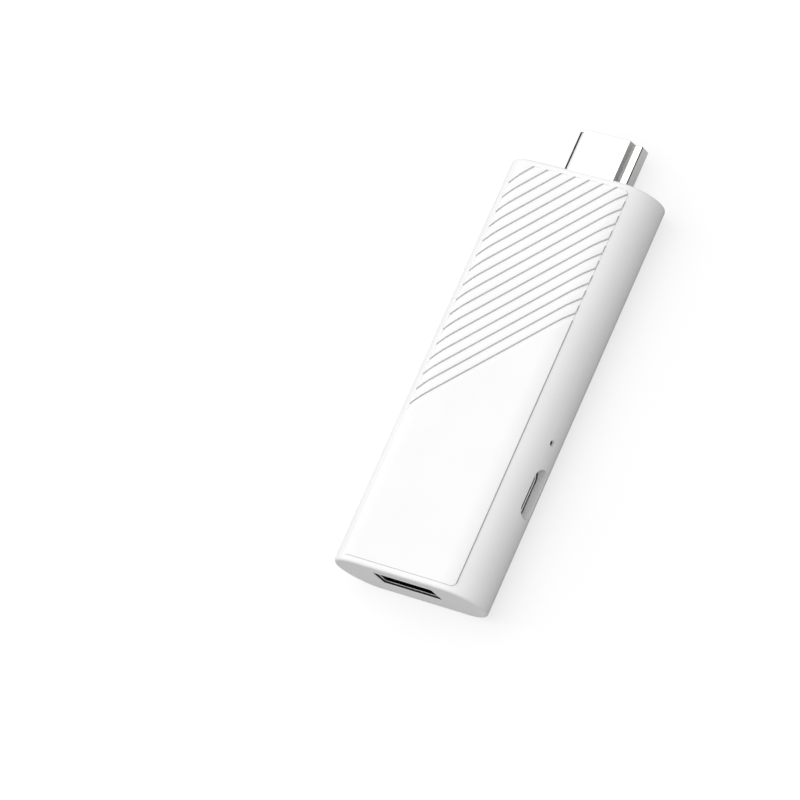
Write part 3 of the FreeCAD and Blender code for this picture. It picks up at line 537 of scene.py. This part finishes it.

# %% [markdown]
# Some places on the white plastic have another colour, and each is painted through a mask round a
# box. The walls of the end wall's USB-A hole are painted black as shade, so that the socket reads as
# one dark opening: the mask takes in the hole's own walls and leaves the small bright chamfer round
# it white. The room behind the reset pinhole is painted black as shade in the same way. Painted shade
# in grey darkens the upright edges along both long sides of the cover, where it stands out of the
# housing, and they draw its outline. The narrow channels along the ribs get a fainter painted shade.

# %% Painted shade in holes and crevices
# Painted shade: a pale grey in the cover's channels, a darker grey on its long edges, black in the holes.
CREVICE_SHADE = (0.80, 0.80, 0.80)
CREVICE_DEPTH = 0.05 * MM
EDGE_SHADE = (0.60, 0.60, 0.60)
EDGE_DEPTH = 0.03 * MM
BLACK = (0.004, 0.004, 0.0045)
MASK_MARGIN = 0.03 * MM
HOLE_HALF_WIDTH = 6.52 * MM
HOLE_HALF_HEIGHT = 2.52 * MM
HOLE_CHAMFER = 0.08 * MM
HOLE_DEPTH = 2.3 * MM
PINHOLE_ROOM_HALF = 0.97 * MM
PINHOLE_ROOM_X = 15.6 * MM


def paint_hole_shade(material):
    """Paints the walls of the USB-A hole black from the chamfer inwards, as painted shade."""
    half_depth = (HOLE_DEPTH - HOLE_CHAMFER - MASK_MARGIN) / 2
    middle = usb_a_middle + Vector((0, HOLE_CHAMFER + MASK_MARGIN + half_depth, 0))
    paint_over(material, middle, (HOLE_HALF_WIDTH, half_depth, HOLE_HALF_HEIGHT), MASK_MARGIN, BLACK)


def paint_pinhole_shade(material):
    """Paints the room between the thin wall at the pinhole and the plunger's tip black, as painted shade.
    """
    low, high = (Vector(corner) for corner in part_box("reset_plunger"))
    half_depth = (PINHOLE_ROOM_X - high.x) / 2
    middle = Vector((high.x + half_depth, (low.y + high.y) / 2, (low.z + high.z) / 2))
    paint_over(material, middle, (half_depth, PINHOLE_ROOM_HALF, PINHOLE_ROOM_HALF), MASK_MARGIN, BLACK)


def shade_crevices(material):
    """Paints grey, as shade, what lies below the housing's outer surface, whose sides are half circles."""
    radius = body_size.z / 2
    half = (body_size.x / 2 - radius, body_size.y, 0)
    paint_over(material, body_middle, half, radius - CREVICE_DEPTH, CREVICE_SHADE)


def shade_long_edges(material):
    """Paints the upright walls along the cover's two long sides grey, as shade."""
    low, high = (Vector(corner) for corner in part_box("front_cover"))
    for edge_x in (low.x, high.x):
        middle = Vector((edge_x, (low.y + high.y) / 2, high.z))
        paint_over(material, middle, (0, high.y - low.y, high.z - low.z), EDGE_DEPTH, EDGE_SHADE)


# Painted shade on the white plastic: black in the holes, grey in the cover's channels and on its edges.
paint_hole_shade(finishes["housing_white"])
paint_pinhole_shade(finishes["housing_white"])
shade_crevices(finishes["cover_white"])
shade_long_edges(finishes["cover_white"])
print("painted_shade %.2f mm below the housing's surface" % (CREVICE_DEPTH / MM))

# %% [markdown]
# The plug's shell is bent from sheet steel and plated with bright nickel. Nickel is a slightly warm
# mirror, so nearly all that it shows is the white room and the cards. The sheet was drawn along the
# plug, which leaves faint lines that way. The sockets' shells are paler and duller.

# %% Plated steel
finishes["plug_nickel"] = drawn_metal(
    "plug_nickel", (0.78, 0.775, 0.765), (0.84, 0.835, 0.825), (0.10, 0.16), ALONG_Y, 0.0006 * MM,
)
finishes["socket_steel"] = drawn_metal(
    "socket_steel", (0.82, 0.82, 0.82), (0.92, 0.92, 0.92), (0.34, 0.46), ALONG_X, 0.001 * MM,
)
print("plated steel", len(finishes))

# %% [markdown]
# Three things are painted on the steel. A dark line along the bend outside each of the plug's shoulders
# is a painted dark reflection. The sockets are painted black inside as shade, with a thin bright band
# of steel left as a painted highlight at the inner edge of the USB-A mouth. The USB-C mouth's rim gets
# a pale painted highlight that is no metal, so the same mask that paints it also turns its metallic value
# off.

# %% Marks on the steel
BEND_RADIUS = 0.15 * MM
SHOULDER_HEIGHT = 6.07 * MM
SHEET = 0.3 * MM
USB_A_HALF_HEIGHT = 2.56 * MM
HIGHLIGHT_BAND = 0.09 * MM
USB_C_FLAT_HALF = 2.84 * MM
USB_C_RADIUS = 1.38 * MM
USB_C_RIM = 0.12 * MM
USB_C_BARE = 0.45 * MM
STEEL_BRIGHT = (0.92, 0.92, 0.92)


def paint_bend_reflections(material):
    """Paints a dark line along the bend outside each of the plug's shoulders, a painted dark reflection.
    """
    low, high = (Vector(corner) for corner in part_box("hdmi_shell"))
    for bend_x in (low.x, high.x):
        paint_over(material, (bend_x, high.y, SHOULDER_HEIGHT), (0, high.y - low.y, 0), BEND_RADIUS, BLACK)


def paint_usb_a_shade(material):
    """Paints the USB-A mouth and what lies behind it black as shade, except for a bright steel band at the
    inner edge of its rim, a painted highlight.
    """
    low, high = (Vector(corner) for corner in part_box("usb_a_shell"))
    inner = Vector((high.x - SHEET, 0, USB_A_HALF_HEIGHT))
    mouth = Vector((0, low.y, high.z - SHEET - USB_A_HALF_HEIGHT))
    rim = inner + Vector((SHEET, SHEET, SHEET))
    paint_over(material, mouth, rim, MASK_MARGIN, BLACK)
    paint_over(material, mouth, inner, HIGHLIGHT_BAND, STEEL_BRIGHT)
    half_depth = (high.y - low.y) / 2
    behind = mouth + Vector((0, half_depth + HIGHLIGHT_BAND, 0))
    rest = inner + Vector((0, half_depth - MASK_MARGIN, 0))
    paint_over(material, behind, rest, MASK_MARGIN, BLACK)


def paint_usb_c_rim_highlight(material):
    """Paints the rim of the USB-C mouth pale and not metal, as a painted highlight."""
    low, high = (Vector(corner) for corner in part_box("usb_c_shell"))
    middle = Vector((high.x, (low.y + high.y) / 2, mounts["usb_c_socket"].z))
    rim = paint_over(material, middle, (0, high.y - middle.y, high.z - middle.z), USB_C_RIM, WHITE_LIGHT)
    tree = material.node_tree
    metal = add_node(tree, "ShaderNodeMath", (-100, -100), operation="SUBTRACT")
    metal.inputs[0].default_value = 1.0
    tree.links.new(rim, metal.inputs[1])
    tree.links.new(metal.outputs[0], tree.nodes["Principled BSDF"].inputs["Metallic"])


def paint_usb_c_shade(material):
    """Paints the inside of the USB-C shell black up to its rim, as painted shade."""
    low, high = (Vector(corner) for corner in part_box("usb_c_shell"))
    half_depth = (high.x - low.x - USB_C_BARE) / 2
    middle = Vector((low.x + half_depth, (low.y + high.y) / 2, mounts["usb_c_socket"].z))
    paint_over(material, middle, (half_depth, USB_C_FLAT_HALF, 0), USB_C_RADIUS, BLACK)


# Painted dark reflections on the plug, painted shade inside the sockets and painted highlights at their
# mouths.
paint_bend_reflections(finishes["plug_nickel"])
paint_usb_a_shade(finishes["socket_steel"])
paint_usb_c_rim_highlight(finishes["socket_steel"])
paint_usb_c_shade(finishes["socket_steel"])
print("bend lines at %.2f mm" % (SHOULDER_HEIGHT / MM))

# %% [markdown]
# The other metals work inside the housing: the tinned shield and cans, the zinc-plated screws, the
# switch's cover and its sprung dome, the drawn aluminium of the heat spreader and the gold on the
# contacts. They differ in tone, in how rough they are and in the way their lines run.

# %% Other metals
finishes["switch_steel"] = drawn_metal(
    "switch_steel", (0.55, 0.55, 0.55), (0.66, 0.66, 0.66), (0.28, 0.40), ALONG_Y, 0.0015 * MM,
)
finishes["spring_steel"] = drawn_metal(
    "spring_steel", (0.50, 0.50, 0.50), (0.60, 0.60, 0.60), (0.20, 0.30), ALONG_Y, 0.001 * MM,
)
finishes["can_steel"] = drawn_metal(
    "can_steel", (0.62, 0.62, 0.61), (0.74, 0.74, 0.73), (0.28, 0.42), ALONG_X, 0.0015 * MM,
)
finishes["screw_steel"] = drawn_metal(
    "screw_steel", (0.40, 0.40, 0.41), (0.52, 0.52, 0.53), (0.25, 0.38), ALONG_X, 0.0015 * MM,
)
finishes["spreader_aluminium"] = drawn_metal(
    "spreader_aluminium", (0.62, 0.63, 0.64), (0.76, 0.77, 0.78), (0.30, 0.46), ALONG_Y, 0.003 * MM,
)
finishes["contact_gold"] = drawn_metal(
    "contact_gold", (0.80, 0.56, 0.22), (0.90, 0.68, 0.32), (0.16, 0.28), ALONG_Y, 0.0008 * MM,
)
print("with metals", len(finishes))

# %% [markdown]
# A circuit board is glass cloth under a lacquer, the solder mask. The copper tracks below it show as
# a lighter, slightly raised net of straight runs, and small tinned holes join the layers. A brick
# pattern makes the net, because its joints run straight and turn at right angles, and the nearest
# points of a cell pattern make the holes.

# %% Circuit boards
BOARD_PITCH = 1.4 * MM
MODULE_PITCH = 1.1 * MM
ANTENNA_PITCH = 2.2 * MM
MASK_GREEN = (0.012, 0.115, 0.045)
TRACK_GREEN = (0.03, 0.20, 0.085)
TINNED = (0.60, 0.58, 0.52)


def tracks_group():
    """Tracks gives a net of straight runs, and Holes gives round spots."""
    tree, entry, leave = new_group("board_tracks", {"Pitch": "NodeSocketFloat"}, ["Tracks", "Holes"])
    where = add_node(tree, "ShaderNodeTexCoord", (-900, 200))
    count = add_node(tree, "ShaderNodeMath", (-700, -100), operation="DIVIDE")
    count.inputs[0].default_value = 1.0
    net = add_node(tree, "ShaderNodeTexBrick", (-300, 200), offset=0.37, squash=0.6, squash_frequency=3)
    net.inputs["Mortar Size"].default_value = 0.06
    net.inputs["Mortar Smooth"].default_value = 0.2
    net.inputs["Brick Width"].default_value = 1.7
    net.inputs["Row Height"].default_value = 0.45
    spots = add_node(tree, "ShaderNodeTexVoronoi", (-300, -200))
    near = add_node(tree, "ShaderNodeMath", (0, -200), operation="LESS_THAN")
    near.inputs[1].default_value = 0.11
    tree.links.new(entry.outputs["Pitch"], count.inputs[1])
    for texture in (net, spots):
        tree.links.new(where.outputs["Object"], texture.inputs["Vector"])
        tree.links.new(count.outputs[0], texture.inputs["Scale"])
    tree.links.new(spots.outputs["Distance"], near.inputs[0])
    tree.links.new(net.outputs["Fac"], leave.inputs["Tracks"])
    tree.links.new(near.outputs[0], leave.inputs["Holes"])
    return tree


effects["tracks"] = tracks_group()


def lacquered_board(name, mask_colour, track_colour, pitch):
    material = new_finish(name, coat_weight=0.4, coat_roughness=0.12)
    pattern = add_effect(material, "tracks", (-900, 0), Pitch=pitch)
    tracks = pattern.outputs["Tracks"]
    lacquer = mix_colours(material, tracks, mask_colour, track_colour, (-500, 200))
    set_colour(material, mix_colours(material, pattern.outputs["Holes"], lacquer, TINNED, (-300, 200)))
    vary_roughness(material, tracks, 0.42, 0.30)
    add_relief(material, tracks, 0.02 * MM)
    return material


finishes["board_green"] = lacquered_board("board_green", MASK_GREEN, TRACK_GREEN, BOARD_PITCH)
finishes["module_green"] = lacquered_board(
    "module_green", (0.008, 0.075, 0.035), (0.02, 0.14, 0.07), MODULE_PITCH,
)
finishes["antenna_board"] = lacquered_board(
    "antenna_board", (0.012, 0.012, 0.014), (0.20, 0.12, 0.06), ANTENNA_PITCH,
)
print("with boards", len(finishes))

# %% [markdown]
# What is left inside is moulded or pressed: the black tongues and insulators of the connectors, the
# epoxy of the chips, the soft silicone pads, the ferrite of the coils and the fired ceramic of the
# capacitors. They differ in tone, in the size of their grain and in how much they shine.

# %% Black plastic and small parts
finishes["black_plastic"] = moulded(
    "black_plastic", (0.010, 0.010, 0.011), (0.018, 0.018, 0.019), (0.42, 0.52), 0.12 * MM, 0.003 * MM,
)
finishes["plunger_plastic"] = moulded(
    "plunger_plastic", (0.025, 0.025, 0.027), (0.04, 0.04, 0.042), (0.38, 0.48), 0.10 * MM, 0.003 * MM,
)
finishes["chip_black"] = moulded(
    "chip_black", (0.016, 0.016, 0.017), (0.030, 0.030, 0.031), (0.50, 0.64), 0.06 * MM, 0.004 * MM,
    patch_size=3 * MM,
)
finishes["pad_grey"] = moulded(
    "pad_grey", (0.30, 0.40, 0.47), (0.38, 0.48, 0.55), (0.70, 0.85), 0.30 * MM, 0.02 * MM,
    patch_size=4 * MM,
)
finishes["lead_black"] = moulded(
    "lead_black", (0.014, 0.014, 0.014), (0.026, 0.026, 0.026), (0.40, 0.52), 0.15 * MM, 0.004 * MM,
)
finishes["coil_grey"] = moulded(
    "coil_grey", (0.09, 0.09, 0.095), (0.15, 0.15, 0.155), (0.55, 0.70), 0.08 * MM, 0.008 * MM,
    patch_size=1.5 * MM,
)
finishes["capacitor_tan"] = moulded(
    "capacitor_tan", (0.36, 0.25, 0.16), (0.46, 0.33, 0.22), (0.32, 0.45), 0.06 * MM, 0.003 * MM,
    patch_size=1.2 * MM,
)
print("all finishes", len(finishes))

# %% [markdown]
# The record names a material slot for every piece, so the finishes go on by that name.

# %% Put the finishes on
for part in frame["record"]["subparts"]:
    slots = nodes[part["node"]].data.materials
    slots.clear()
    slots.append(finishes[part["material_slot"]])
unused = set(finishes) - {part["material_slot"] for part in frame["record"]["subparts"]}
print("finishes on", len(nodes), "nodes, not used:", sorted(unused))

# %% [markdown]
# Under the reset plunger lies a snap dome, a small cap of thin spring steel. It gives way when the
# plunger comes in, and springs back. A copy of the CAD dome takes its place here, with the points
# that its triangles share made one.

# %% Snap dome
SAME_POINT = 0.0005 * MM


def build_dome():
    """A copy of the CAD dome, with the points that its triangles share made one."""
    bm = bmesh.new()
    bm.from_mesh(nodes["reset_dome"].data)
    bmesh.ops.remove_doubles(bm, verts=bm.verts, dist=SAME_POINT)
    piece = link_object("snap_dome", mesh_from(bm, "snap_dome"))
    piece.data.materials.append(finishes["spring_steel"])
    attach(piece, "stick")
    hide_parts("reset_dome")
    return piece


dome = build_dome()
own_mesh(dome)
